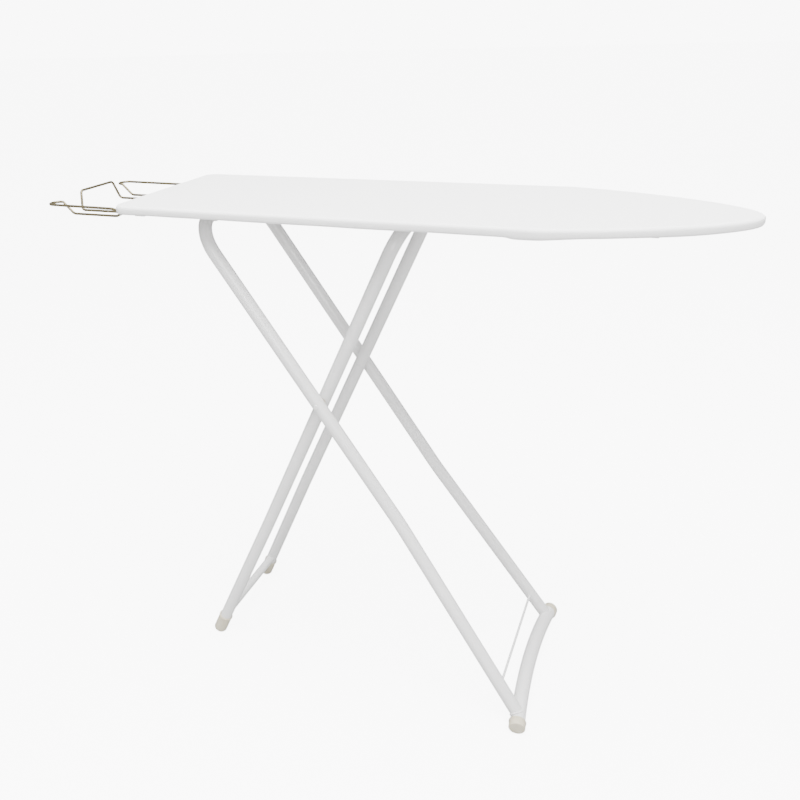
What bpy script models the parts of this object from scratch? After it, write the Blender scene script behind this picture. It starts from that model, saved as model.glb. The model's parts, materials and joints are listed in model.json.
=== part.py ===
"""Folding ironing board: padded deck, scissor legs, wire iron rest. Metres, +Z up."""
import math

import bmesh
import bpy
from mathutils import Vector

# Driving dimensions of the board
BOARD_LENGTH = 0.94
BOARD_WIDTH = 0.30
TOP_HEIGHT = 0.846
TAIL_X = -0.3875
TAIL_CORNER = 0.018
TAPER_START = 0.666
TAPER_POWER = 1.222
TAPER_ROUND = 1.745
NOSE_STEPS = 14

# Layers of the board, from the top down
GAP = 0.0003
CLOTH = 0.0008
PAD_DEPTH = 0.004
DECK_SHEET = 0.0012
RIM_WALL = 0.002
RIM_DEPTH = 0.0058
RIM_JOINT = 0.600
HEM_WIDTH = 0.014
EDGE_ROUND = 0.004
BOARD_DEPTH = 0.0141
PAD_TOP = TOP_HEIGHT - CLOTH - GAP
DECK_TOP = PAD_TOP - PAD_DEPTH - GAP
DECK_UNDER = DECK_TOP - DECK_SHEET
RIM_TOP = DECK_UNDER - GAP
CORE_INSET = CLOTH + GAP

# Linkage, measured in the plane of each leg from its top axle
AXLE_Z = 0.816
OUTER_AXLE_X = TAIL_X + 0.1197
INNER_AXLE_X = TAIL_X + 0.4565
OUTER_ANGLE = math.radians(55.17)
INNER_ANGLE = math.radians(65.07)
OUTER_PIVOT = 0.3535
OUTER_FOOT = 0.9776
INNER_FOOT = 0.8860

# Tubes
TUBE_RADIUS = 0.011
TUBE_WALL = 0.0012
OUTER_BEND = 0.060
INNER_BEND = 0.045
BEND_STEPS = 6
OUTER_HALF_TOP = 0.1040
OUTER_HALF_FOOT = 0.1350
OUTER_FLARE = 0.596
INNER_HALF_TOP = 0.0808
INNER_HALF_FOOT = 0.0975
INNER_FLARE = 0.611
BAR_RADIUS = 0.0125
BAR_HALF = 0.1595
BAR_RISE = 0.016
CAP_WALL = 0.0012
BRACE_AT = 0.915
BRACE_RADIUS = 0.0022
CROSS_AT = 0.850
CROSS_RADIUS = 0.0080

# Fittings under the deck
SADDLE_Y = 0.031
SADDLE_WIDTH = 0.016
SADDLE_SHEET = 0.0015
STRAP_Y = 0.026
STRAP_WIDTH = 0.010
STRAP_SHEET = 0.002
STRAP_START = TAIL_X + 0.425
STRAP_END = TAIL_X + 0.828
STRAP_Z = 0.8030
RIB_PLACES = {"tail": 0.026, "hinge": 0.165, "middle": 0.360, "nose": 0.885}
RIB_WIDTH = 0.016
RIB_SHEET = 0.0012
RIVET_RADIUS = 0.003
RIVET_HEAD = 0.0046

# Iron rest wire
WIRE = 0.0022
ARM_Y = 0.109
RETURN_Y = 0.0835
VALLEY_Y = 0.0545
BAR_Y = 0.044
ARM_BEND = 0.020
DIP_BEND = 0.012
BAR_BEND = 0.007
REST_END_X = TAIL_X - 0.150
REST_BAR_X = TAIL_X - 0.1415
REST_UNDER_Z = 0.8265
REST_ARM_Z = 0.8325
REST_LOW_Z = 0.8133
REST_BAR_Z = 0.8446
CLAMP_X = TAIL_X + 0.026
CLAMP_SCREW_Y = 0.0962


def clear_scene():
    """Remove every object of the open scene."""
    for item in list(bpy.data.objects):
        bpy.data.objects.remove(item, do_unlink=True)


def collection(name):
    """Make a collection in the scene."""
    group = bpy.data.collections.new(name)
    bpy.context.scene.collection.children.link(group)
    return group


def material(name, colour, roughness, metallic=0.0):
    """Make a Principled material."""
    made = bpy.data.materials.new(name)
    made.use_nodes = True
    shader = made.node_tree.nodes["Principled BSDF"]
    shader.inputs["Base Color"].default_value = (*colour, 1.0)
    shader.inputs["Roughness"].default_value = roughness
    shader.inputs["Metallic"].default_value = metallic
    return made


def add_object(name, data, look, group):
    """Link new data as a named object with one material."""
    made = bpy.data.objects.new(name, data)
    group.objects.link(made)
    if look is not None:
        data.materials.clear()
        data.materials.append(look)
    return made


def smooth(item, degrees=35.0):
    """Shade smooth, with sharp edges kept."""
    item.data.shade_smooth()
    item.data.set_sharp_from_angle(angle=math.radians(degrees))


# ---------------------------------------------------------------- outlines
def half_width(x):
    """Half-width of the board at x, measured from the tail."""
    if x <= TAPER_START:
        return BOARD_WIDTH / 2
    share = min(1.0, (x - TAPER_START) / (BOARD_LENGTH - TAPER_START))
    return BOARD_WIDTH / 2 * max(0.0, 1 - share ** TAPER_POWER) ** (1 / TAPER_ROUND)


def board_outline():
    """Corner points of the board, anticlockwise from above."""
    side = []
    for step in range(5):
        turn = math.pi / 2 * step / 4
        side.append((TAIL_CORNER * (1 - math.cos(turn)),
                     BOARD_WIDTH / 2 - TAIL_CORNER * (1 - math.sin(turn))))
    side.append((TAPER_START * 0.5, BOARD_WIDTH / 2))
    for step in range(NOSE_STEPS):
        x = TAPER_START + (BOARD_LENGTH - TAPER_START) * math.sin(math.pi / 2 * step / NOSE_STEPS)
        side.append((x, half_width(x)))
    near = [Vector((TAIL_X + x, -y)) for x, y in side]
    far = [Vector((TAIL_X + x, y)) for x, y in reversed(side)]
    return near + [Vector((TAIL_X + BOARD_LENGTH, 0.0))] + far


def inset(points, depth):
    """Move a closed outline inwards by depth."""
    moved = []
    count = len(points)
    for index, point in enumerate(points):
        before = (point - points[index - 1]).normalized()
        after = (points[(index + 1) % count] - point).normalized()
        normal = Vector((-before.y - after.y, before.x + after.x)).normalized()
        lean = max(0.3, normal.dot(Vector((-before.y, before.x))))
        moved.append(point + normal * depth / lean)
    return moved


# ---------------------------------------------------------------- builders
def curve_data(name, dimensions="3D"):
    """Make an empty curve."""
    data = bpy.data.curves.new(name, "CURVE")
    data.dimensions = dimensions
    data.resolution_u = 1
    data.render_resolution_u = 0
    return data


def add_spline(data, points, cyclic=False):
    """Add a straight-sided spline through points."""
    spline = data.splines.new("POLY")
    spline.points.add(len(points) - 1)
    for slot, point in zip(spline.points, points):
        x, y, *rest = point
        slot.co = (x, y, rest[0] if rest else 0.0, 1.0)
    spline.use_cyclic_u = cyclic


def sheet(name, outlines, low, high, look, group):
    """Flat sheet between two heights; outlines after the first are holes."""
    data = curve_data(name, "2D")
    data.fill_mode = "BOTH"
    for points in outlines:
        add_spline(data, points, cyclic=True)
    data.extrude = (high - low) / 2
    made = add_object(name, data, look, group)
    made.location.z = (high + low) / 2
    return made


def profile_bar(name, points, y_low, y_high, look, group):
    """Profile in X and Z, extruded along Y."""
    data = curve_data(name, "2D")
    data.fill_mode = "BOTH"
    add_spline(data, points, cyclic=True)
    data.extrude = (y_high - y_low) / 2
    made = add_object(name, data, look, group)
    made.rotation_euler = (math.pi / 2, 0, 0)
    made.location.y = (y_high + y_low) / 2
    return made


def rod(name, points, radius, look, group, sides=3, caps=True):
    """Round rod or open tube along points."""
    data = curve_data(name)
    add_spline(data, points)
    data.bevel_depth = radius
    data.bevel_resolution = sides
    data.use_fill_caps = caps
    return add_object(name, data, look, group)


def curve_mesh(item, look):
    """Replace a curve object by a mesh object of the same name and place."""
    depsgraph = bpy.context.evaluated_depsgraph_get()
    mesh = bpy.data.meshes.new_from_object(item.evaluated_get(depsgraph))
    place = item.matrix_world.copy()
    group = item.users_collection[0]
    name = item.name
    bpy.data.objects.remove(item, do_unlink=True)
    work = bmesh.new()
    work.from_mesh(mesh)
    bmesh.ops.remove_doubles(work, verts=work.verts, dist=0.00001)
    bmesh.ops.recalc_face_normals(work, faces=work.faces)
    work.to_mesh(mesh)
    work.free()
    made = add_object(name, mesh, look, group)
    made.matrix_world = place
    return made


def cut(item, cutter):
    """Subtract a cutter from an item."""
    change = item.modifiers.new("cut_" + cutter.name, "BOOLEAN")
    change.operation = "DIFFERENCE"
    change.solver = "EXACT"
    change.object = cutter
    cutter.hide_render = True
    cutter.display_type = "WIRE"


def hollow(item):
    """Give an open tube its wall."""
    wall = item.modifiers.new("wall", "SOLIDIFY")
    wall.thickness = TUBE_WALL
    wall.offset = -1.0


def cylinder(name, radius, depth, place, look, group, vertices=24, turn=(0, 0, 0)):
    """Closed cylinder from the primitive operator."""
    work = bmesh.new()
    bmesh.ops.create_cone(work, cap_ends=True, segments=vertices, radius1=radius,
                          radius2=radius, depth=depth)
    data = bpy.data.meshes.new(name)
    work.to_mesh(data)
    work.free()
    made = add_object(name, data, look, group)
    made.location = place
    made.rotation_euler = turn
    return made


def block(name, size, place, look, group, bevel=0.0):
    """Box with its scale applied and its edges eased."""
    work = bmesh.new()
    bmesh.ops.create_cube(work, size=1.0)
    bmesh.ops.scale(work, vec=size, verts=work.verts)
    data = bpy.data.meshes.new(name)
    work.to_mesh(data)
    work.free()
    made = add_object(name, data, look, group)
    made.location = place
    if bevel:
        edge = made.modifiers.new("bevel", "BEVEL")
        edge.width = bevel
        edge.segments = 2
    return made


def turned(name, profile, look, group, steps=24):
    """Solid of revolution about Z from a profile at +X."""
    data = bpy.data.meshes.new(name)
    work = bmesh.new()
    verts = [work.verts.new((x, 0, z)) for x, z in profile]
    for first, second in zip(verts, verts[1:]):
        work.edges.new((first, second))
    work.to_mesh(data)
    work.free()
    made = add_object(name, data, look, group)
    screw = made.modifiers.new("screw", "SCREW")
    screw.steps = steps
    screw.render_steps = steps
    screw.use_merge_vertices = True
    screw.merge_threshold = 0.00001
    return made


# ---------------------------------------------------------------- routes
def rounded(points, radius, steps):
    """Route through points with each inner corner turned into an arc."""
    route = [Vector(points[0])]
    for before, corner, after in zip(points, points[1:], points[2:]):
        corner = Vector(corner)
        back = (Vector(before) - corner)
        ahead = (Vector(after) - corner)
        bend = math.pi - back.angle(ahead)
        reach = min(radius * math.tan(bend / 2), back.length * 0.49, ahead.length * 0.49)
        start = corner + back.normalized() * reach
        end = corner + ahead.normalized() * reach
        real = reach / max(1e-6, math.tan(bend / 2))
        inward = (back.normalized() + ahead.normalized()).normalized()
        centre = corner + inward * (real / math.cos(bend / 2))
        first = start - centre
        last = end - centre
        for step in range(steps + 1):
            share = step / steps
            angle = bend * share
            spin = (first * math.sin(bend - angle) + last * math.sin(angle)) / math.sin(bend)
            route.append(centre + spin)
    route.append(Vector(points[-1]))
    return route


def frame_route(half_top, half_foot, flare, foot, bend):
    """One bent tube: up one leg, across its top axle and down the other leg."""
    left = [(foot, -half_foot, 0), (flare, -half_top, 0), (0, -half_top, 0)]
    right = [(x, -y, z) for x, y, z in reversed(left)]
    upper = rounded(left[1:] + right[:2], bend, BEND_STEPS)
    near = rounded([left[0], left[1], tuple(upper[1])], 0.30, 2)[:-1]
    far = [Vector((p.x, -p.y, p.z)) for p in reversed(near)]
    return near + upper[1:-1] + far


def leg_half(distance, half_top, half_foot, flare, foot):
    """Half-spacing of a leg frame at a distance from its top axle."""
    share = max(0.0, (distance - flare) / (foot - flare))
    return half_top + (half_foot - half_top) * share


# ---------------------------------------------------------------- sub-assemblies
def build_board(group, looks):
    """Cover, pad, deck, rim and ribs."""
    outer = board_outline()
    build_cover(outer, looks["cover_fabric"], group)
    core = inset(outer, CORE_INSET)
    build_pad(outer, looks["pad_foam"], group)
    sheet("deck", [core] + deck_holes(), DECK_UNDER, DECK_TOP, looks["painted_steel"], group)
    inner = inset(outer, CORE_INSET + RIM_WALL)
    for name, ahead in (("rim_rear", False), ("rim_nose", True)):
        wall = rim_wall(core, ahead) + list(reversed(rim_wall(inner, ahead)))
        sheet(name, [wall], RIM_TOP - RIM_DEPTH, RIM_TOP, looks["painted_steel"], group)
    for place, distance in RIB_PLACES.items():
        build_rib(f"rib_{place}", distance, looks["painted_steel"], group)


def rim_wall(outline, ahead):
    """Run of an outline on one side of the rim's joint, ended square on the joint."""
    edge = TAIL_X + RIM_JOINT + (GAP / 2 if ahead else -GAP / 2)
    kept = [(point.x > edge) == ahead for point in outline]
    first = next(k for k in range(len(outline)) if kept[k] and not kept[k - 1])
    run = [outline[(first + k) % len(outline)] for k in range(sum(kept))]
    return [(edge, run[0].y)] + [(point.x, point.y) for point in run] + [(edge, run[-1].y)]


def ring_mesh(name, rings, close_bottom, look, group):
    """Mesh through outlines at given heights, closed on top and, if asked, below."""
    work = bmesh.new()
    loops = []
    for points, height in rings:
        loops.append([work.verts.new((p.x, p.y, height)) for p in points])
    work.faces.new(loops[0])
    if close_bottom:
        work.faces.new(list(reversed(loops[-1])))
    count = len(loops[0])
    for upper, lower in zip(loops, loops[1:]):
        for index in range(count):
            other = (index + 1) % count
            work.faces.new((upper[other], upper[index], lower[index], lower[other]))
    data = bpy.data.meshes.new(name)
    work.to_mesh(data)
    work.free()
    return add_object(name, data, look, group)


def build_cover(outer, look, group):
    """Fitted cloth: top, sides and a hem turned under the rim."""
    low = TOP_HEIGHT - BOARD_DEPTH
    rings = [(inset(outer, EDGE_ROUND), TOP_HEIGHT),
             (inset(outer, EDGE_ROUND * 0.3), TOP_HEIGHT - EDGE_ROUND * 0.3),
             (outer, TOP_HEIGHT - EDGE_ROUND),
             (outer, low),
             (inset(outer, HEM_WIDTH), low)]
    made = ring_mesh("cover", rings, False, look, group)
    cloth = made.modifiers.new("cloth", "SOLIDIFY")
    cloth.thickness = CLOTH
    cloth.offset = -1.0
    cloth.use_even_offset = True


def build_pad(outer, look, group):
    """Foam slab under the cover, with the same eased edge."""
    spare = CORE_INSET + 0.0001
    rings = [(inset(outer, EDGE_ROUND + 0.0008), PAD_TOP),
             (inset(outer, EDGE_ROUND * 0.3 + 0.0011), PAD_TOP - EDGE_ROUND * 0.3),
             (inset(outer, spare), PAD_TOP - EDGE_ROUND + 0.0002),
             (inset(outer, spare), PAD_TOP - PAD_DEPTH)]
    ring_mesh("pad", rings, True, look, group)


def deck_holes():
    """Steam holes of the deck, in staggered rows, clear of the ribs and the edge."""
    holes = []
    pitch = 0.047
    radius = 0.0075
    for column in range(19):
        x = 0.048 + column * pitch
        for row in range(-2, 3):
            y = row * 0.052 + (0.013 if column % 2 else -0.013)
            if abs(y) > half_width(min(x + radius, BOARD_LENGTH)) - 0.03:
                continue
            holes.append([(TAIL_X + x + radius * math.cos(math.tau * k / 8),
                           y + radius * math.sin(math.tau * k / 8)) for k in range(8)])
    return holes


def build_rib(name, distance, look, group):
    """Channel across the deck, open downwards, between the rim's walls."""
    low = RIM_TOP - RIM_DEPTH * 0.75
    half = RIB_WIDTH / 2
    x = TAIL_X + distance
    points = [(x - half, RIM_TOP), (x - half, low), (x - half + RIB_SHEET, low),
              (x - half + RIB_SHEET, RIM_TOP - RIB_SHEET), (x + half - RIB_SHEET, RIM_TOP - RIB_SHEET),
              (x + half - RIB_SHEET, low), (x + half, low), (x + half, RIM_TOP)]
    reach = half_width(distance + half) - CORE_INSET - RIM_WALL - 0.003
    profile_bar(name, points, -reach, reach, look, group)


def build_saddles(group, look):
    """Saddle brackets that carry the outer leg's top tube under the deck."""
    inner = TUBE_RADIUS + 0.0005
    outer = inner + SADDLE_SHEET
    top = RIM_TOP
    wing = 0.030
    for side, sign in (("near", -1), ("far", 1)):
        cx = OUTER_AXLE_X
        points = [(cx - wing, top), (cx - wing, top - SADDLE_SHEET), (cx - outer, top - SADDLE_SHEET)]
        points += arc(cx, AXLE_Z, outer, 180, 360, 12)
        points += [(cx + outer, top - SADDLE_SHEET), (cx + wing, top - SADDLE_SHEET), (cx + wing, top)]
        points += [(cx + inner, top)]
        points += arc(cx, AXLE_Z, inner, 360, 180, 12)
        points += [(cx - inner, top)]
        middle = sign * SADDLE_Y
        profile_bar(f"hinge_saddle_{side}", points, middle - SADDLE_WIDTH / 2,
                    middle + SADDLE_WIDTH / 2, look, group)


def arc(cx, cz, radius, start, end, steps):
    """Points of an arc in X and Z, in degrees."""
    turns = [math.radians(start + (end - start) * step / steps) for step in range(steps + 1)]
    return [(cx + radius * math.cos(turn), cz + radius * math.sin(turn)) for turn in turns]


def build_strap(group, look):
    """Guide strap: the inner leg's top tube slides between it and the deck."""
    ramp = 0.020
    foot = 0.016
    lead = 0.001
    line = [(STRAP_START - foot, RIM_TOP), (STRAP_START, RIM_TOP), (STRAP_START + ramp, STRAP_Z),
            (STRAP_END - ramp, STRAP_Z), (STRAP_END, RIM_TOP), (STRAP_END + foot, RIM_TOP)]
    shifts = (0, -lead, -lead, lead, lead, 0)
    below = [(x + shift, z - STRAP_SHEET) for (x, z), shift in zip(line, shifts)]
    profile_bar("guide_strap", line + list(reversed(below)), STRAP_Y - STRAP_WIDTH / 2,
                STRAP_Y + STRAP_WIDTH / 2, look, group)


def rest_half_route():
    """Half of the iron rest's wire, from its fixed end to the middle of its raised bar."""
    arm = [(TAIL_X + 0.052, ARM_Y, REST_UNDER_Z), (TAIL_X - 0.004, ARM_Y, REST_UNDER_Z),
           (TAIL_X - 0.030, ARM_Y, REST_ARM_Z - 0.001), (REST_END_X, ARM_Y, REST_ARM_Z)]
    loop = half_turn(REST_END_X, ARM_Y, RETURN_Y, REST_ARM_Z, -1)
    low = [(TAIL_X - 0.130, RETURN_Y, REST_LOW_Z), (TAIL_X - 0.042, RETURN_Y, REST_LOW_Z),
           (TAIL_X - 0.010, RETURN_Y, REST_UNDER_Z), (TAIL_X + 0.040, RETURN_Y, REST_UNDER_Z)]
    back = half_turn(TAIL_X + 0.040, RETURN_Y, VALLEY_Y, REST_UNDER_Z, 1)
    valley = [(TAIL_X - 0.010, VALLEY_Y, REST_UNDER_Z), (TAIL_X - 0.042, VALLEY_Y, REST_LOW_Z),
              (REST_BAR_X + 0.006, VALLEY_Y, REST_LOW_Z), (REST_BAR_X, BAR_Y, REST_BAR_Z),
              (REST_BAR_X, 0.0, REST_BAR_Z)]
    soft = rounded(arm, ARM_BEND, 3)
    dip = rounded([tuple(loop[-1])] + low, DIP_BEND, 4)
    rise = rounded([tuple(back[-1])] + valley, BAR_BEND, 4)
    return soft[:-1] + loop + dip[1:-1] + back + rise[1:]


def half_turn(x, y_from, y_to, z, way):
    """Half circle in plan between two runs along X."""
    radius = (y_from - y_to) / 2
    middle = (y_from + y_to) / 2
    turns = [math.pi * step / 8 for step in range(9)]
    return [Vector((x + way * radius * math.sin(t), middle + radius * math.cos(t), z)) for t in turns]


def build_rest(group, looks):
    """One bent wire that carries the iron, and the plate and screws that clamp it."""
    half = rest_half_route()
    whole = half + [Vector((p.x, -p.y, p.z)) for p in reversed(half[:-1])]
    rod("iron_rest_wire", whole, WIRE, looks["plated_wire"], group, sides=2)
    top = REST_UNDER_Z - WIRE - GAP
    plate = block("rest_clamp_plate", (0.018, 0.226, 0.0015), (CLAMP_X, 0, top - 0.00075),
                  looks["painted_steel"], group)
    cutters = bpy.data.collections["cutters"]
    for side, sign in (("near", -1), ("far", 1)):
        y = sign * CLAMP_SCREW_Y
        hole = cylinder(f"screw_hole_{side}", 0.0023, 0.01, (CLAMP_X, y, top), None, cutters)
        cut(plate, hole)
        head = top - 0.0015 - GAP
        rib_under = RIM_TOP - RIB_SHEET - GAP
        profile = [(0, rib_under), (0.002, rib_under), (0.002, head), (0.0042, head),
                   (0.0036, head - 0.0018), (0.0018, head - 0.0026), (0, head - 0.0027)]
        screw = turned(f"rest_screw_{side}", profile, looks["rivet_steel"], group, 16)
        screw.location = (CLAMP_X, y, 0)


def build_outer_leg(axle, group, looks):
    """Outer frame, arched foot bar, caps and brace rod, in the leg's own plane."""
    paint = looks["painted_steel"]
    route = frame_route(OUTER_HALF_TOP, OUTER_HALF_FOOT, OUTER_FLARE, OUTER_FOOT - BAR_RISE * 0.3,
                        OUTER_BEND)
    frame = rod("outer_leg_frame", route, TUBE_RADIUS, paint, group, sides=4, caps=False)
    frame = curve_mesh(frame, paint)
    bar_line = [Vector((OUTER_FOOT - BAR_RISE * (1 - (y / BAR_HALF) ** 2), y, 0))
                for y in (BAR_HALF * (k / 9 - 1) for k in range(19))]
    bar = rod("outer_foot_bar", bar_line, BAR_RADIUS, paint, group, sides=4)
    coper = rod("cope_cutter", bar_line, BAR_RADIUS + GAP, None, bpy.data.collections["cutters"], sides=6)
    coper = curve_mesh(coper, paint)
    hollow(frame)
    cut(frame, coper)
    brace_half = leg_half(BRACE_AT, OUTER_HALF_TOP, OUTER_HALF_FOOT, OUTER_FLARE, OUTER_FOOT)
    reach = brace_half - TUBE_RADIUS - GAP
    brace = rod("outer_brace_rod", [(BRACE_AT, -reach, 0), (BRACE_AT, reach, 0)], BRACE_RADIUS,
                looks["painted_steel"], group, sides=2)
    for item in (frame, bar, brace, coper):
        item.parent = axle
    return bar_line


def cap_profile(inner, depth, base):
    """Cup profile: the inner floor, the bore up to its open rim, the outer side down, the base."""
    outer = inner + CAP_WALL
    return [(0, 0), (inner, 0), (inner, depth), (outer, depth), (outer, 0.003),
            (outer - 0.003, -base), (0, -base)]


def build_outer_caps(bar_line, floor, group, look):
    """Plastic caps over the foot bar's ends, flattened where they meet the floor."""
    for side, sign in (("near", -1), ("far", 1)):
        cap = turned(f"outer_foot_cap_{side}", cap_profile(BAR_RADIUS + GAP, 0.012, 0.0022), look, group)
        end = leg_point(OUTER_AXLE_X, OUTER_ANGLE, bar_line[-1].x, sign * (BAR_HALF + GAP))
        before = leg_point(OUTER_AXLE_X, OUTER_ANGLE, bar_line[-2].x, sign * abs(bar_line[-2].y))
        cap.location = end
        cap.rotation_euler = (before - end).to_track_quat("Z", "Y").to_euler()
        cut(cap, floor)


def leg_point(axle_x, angle, distance, y):
    """World place of a point in a leg's plane."""
    return Vector((axle_x + distance * math.cos(angle), y, AXLE_Z - distance * math.sin(angle)))


def build_inner_leg(axle, group, looks):
    """Inner frame, its cross tube and its foot caps, in the leg's own plane."""
    paint = looks["painted_steel"]
    route = frame_route(INNER_HALF_TOP, INNER_HALF_FOOT, INNER_FLARE, INNER_FOOT - 0.008, INNER_BEND)
    frame = rod("inner_leg_frame", route, TUBE_RADIUS, paint, group, sides=4, caps=False)
    frame = curve_mesh(frame, paint)
    hollow(frame)
    half = leg_half(CROSS_AT, INNER_HALF_TOP, INNER_HALF_FOOT, INNER_FLARE, INNER_FOOT)
    tube = rod("inner_cross_tube", [(CROSS_AT, -half, 0), (CROSS_AT, half, 0)], CROSS_RADIUS, paint,
               group, sides=4, caps=True)
    tube = curve_mesh(tube, paint)
    coper = rod("leg_cutter", route, TUBE_RADIUS + GAP, None, bpy.data.collections["cutters"], sides=6)
    coper = curve_mesh(coper, paint)
    cut(tube, coper)
    for item in (frame, tube, coper):
        item.parent = axle
    return route


def build_inner_caps(route, floor, group, look):
    """Plastic cups over the inner legs' ends, cut flat at the floor."""
    for side, sign in (("near", -1), ("far", 1)):
        end = leg_point(INNER_AXLE_X, math.pi - INNER_ANGLE, route[0].x + GAP, sign * abs(route[0].y))
        above = leg_point(INNER_AXLE_X, math.pi - INNER_ANGLE, route[1].x, sign * abs(route[1].y))
        cap = turned(f"inner_foot_cap_{side}", cap_profile(TUBE_RADIUS + GAP, 0.018, 0.020), look, group)
        cap.location = end
        cap.rotation_euler = (above - end).to_track_quat("Z", "Y").to_euler()
        cut(cap, floor)


def build_pivots(group, looks):
    """Shouldered rivets and washers where the legs cross."""
    centre = leg_point(OUTER_AXLE_X, OUTER_ANGLE, OUTER_PIVOT, 0)
    cutters = bpy.data.collections["cutters"]
    holes = cylinder("pivot_drill", RIVET_RADIUS + GAP, 0.40, centre, None, cutters, 16,
                     (math.pi / 2, 0, 0))
    inside = INNER_HALF_TOP - TUBE_RADIUS - GAP
    outside = OUTER_HALF_TOP + TUBE_RADIUS + GAP
    for side, sign in (("near", -1), ("far", 1)):
        profile = [(0, outside + 0.0012), (0.003, outside + 0.0010), (0.0044, outside + 0.0005),
                   (RIVET_HEAD, outside), (RIVET_RADIUS, outside), (RIVET_RADIUS, inside),
                   (RIVET_HEAD, inside), (0.004, inside - 0.0007), (0, inside - 0.0010)]
        rivet = turned(f"pivot_rivet_{side}", profile, looks["painted_steel"], group, 16)
        rivet.location = centre
        rivet.rotation_euler = (-sign * math.pi / 2, 0, 0)
        middle = (INNER_HALF_TOP + OUTER_HALF_TOP) / 2
        room = OUTER_HALF_TOP - INNER_HALF_TOP - 2 * TUBE_RADIUS - 2 * GAP
        washer = [(RIVET_RADIUS + GAP, room / 2), (0.0075, room / 2), (0.0075, -room / 2),
                  (RIVET_RADIUS + GAP, -room / 2), (RIVET_RADIUS + GAP, room / 2)]
        ring = turned(f"pivot_washer_{side}", washer, looks["foot_plastic"], group, 16)
        ring.location = centre + Vector((0, sign * middle, 0))
        ring.rotation_euler = (math.pi / 2, 0, 0)
    for name in ("outer_leg_frame", "inner_leg_frame"):
        cut(bpy.data.objects[name], holes)


def build_glide(group, looks):
    """Nylon glide on the inner leg's top tube, with its spring-loaded lock lever."""
    cx, cz = INNER_AXLE_X, AXLE_Z
    bore = TUBE_RADIUS + 0.0004
    outer = TUBE_RADIUS + 0.003
    points = arc(cx, cz, outer, -60, 240, 20)
    points += arc(cx, cz, bore, 240, -60, 20)
    profile_bar("glide_clip", points, -0.016, 0.016, looks["foot_plastic"], group)
    pin_x = cx + 0.024
    pin_z = cz + 0.001
    ear = [(pin_x - 0.0092, pin_z - 0.005), (pin_x + 0.005, pin_z - 0.005), (pin_x + 0.005, pin_z + 0.005),
           (pin_x - 0.0092, pin_z + 0.005)]
    profile_bar("glide_ear", ear, 0.0065, 0.0105, looks["foot_plastic"], group)
    lever = [(pin_x - 0.004, pin_z + 0.004), (pin_x - 0.004, pin_z - 0.004), (pin_x + 0.004, pin_z - 0.006),
             (pin_x + 0.050, pin_z - 0.018), (pin_x + 0.052, pin_z - 0.0155), (pin_x + 0.010, pin_z - 0.001),
             (pin_x + 0.004, pin_z + 0.004)]
    made = profile_bar("lock_lever", lever, -0.006, 0.006, looks["spring_steel"], group)
    bpy.context.view_layer.update()
    lever_mesh = curve_mesh(made, looks["spring_steel"])
    drill = cylinder("lever_drill", 0.0015 + GAP, 0.06, (pin_x, 0, pin_z), None,
                     bpy.data.collections["cutters"], 16, (math.pi / 2, 0, 0))
    cut(lever_mesh, drill)
    ear_mesh = curve_mesh(bpy.data.objects["glide_ear"], looks["foot_plastic"])
    cut(ear_mesh, drill)
    cylinder("lever_pin", 0.0015, 0.021, (pin_x, 0.0010, pin_z), looks["rivet_steel"], group, 16,
             (math.pi / 2, 0, 0))


def main():
    """Build the whole board."""
    clear_scene()
    group = collection("ironing_board")
    cutters = collection("cutters")
    cutters.hide_render = True
    looks = {
        "cover_fabric": material("cover_fabric", (0.86, 0.86, 0.85), 0.85),
        "pad_foam": material("pad_foam", (0.80, 0.78, 0.72), 0.95),
        "painted_steel": material("painted_steel", (0.72, 0.73, 0.74), 0.30),
        "plated_wire": material("plated_wire", (0.45, 0.40, 0.25), 0.28, 1.0),
        "foot_plastic": material("foot_plastic", (0.70, 0.66, 0.56), 0.45),
        "rivet_steel": material("rivet_steel", (0.60, 0.60, 0.60), 0.30, 1.0),
        "spring_steel": material("spring_steel", (0.35, 0.35, 0.36), 0.35, 1.0),
    }
    outer_axle = bpy.data.objects.new("outer_axle", None)
    outer_axle.location = (OUTER_AXLE_X, 0, AXLE_Z)
    outer_axle.rotation_euler = (0, OUTER_ANGLE, 0)
    inner_axle = bpy.data.objects.new("inner_axle", None)
    inner_axle.location = (INNER_AXLE_X, 0, AXLE_Z)
    inner_axle.rotation_euler = (0, math.pi - INNER_ANGLE, 0)
    for empty in (outer_axle, inner_axle):
        group.objects.link(empty)
    build_board(group, looks)
    build_saddles(group, looks["painted_steel"])
    build_strap(group, looks["painted_steel"])
    build_rest(group, looks)
    floor = block("floor_cutter", (3.0, 1.0, 0.2), (0, 0, -0.1), None, cutters)
    bar_line = build_outer_leg(outer_axle, group, looks)
    build_outer_caps(bar_line, floor, group, looks["foot_plastic"])
    route = build_inner_leg(inner_axle, group, looks)
    build_inner_caps(route, floor, group, looks["foot_plastic"])
    build_pivots(group, looks)
    build_glide(group, looks)


main()
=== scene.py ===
"""Folding ironing board with a fitted cloth cover, crossed tube legs and a bent-wire iron rest."""
from __future__ import annotations

import json
import logging
import math
from dataclasses import dataclass, field
from enum import Enum

import bmesh
import bpy
from mathutils import Matrix, Vector, noise

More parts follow.
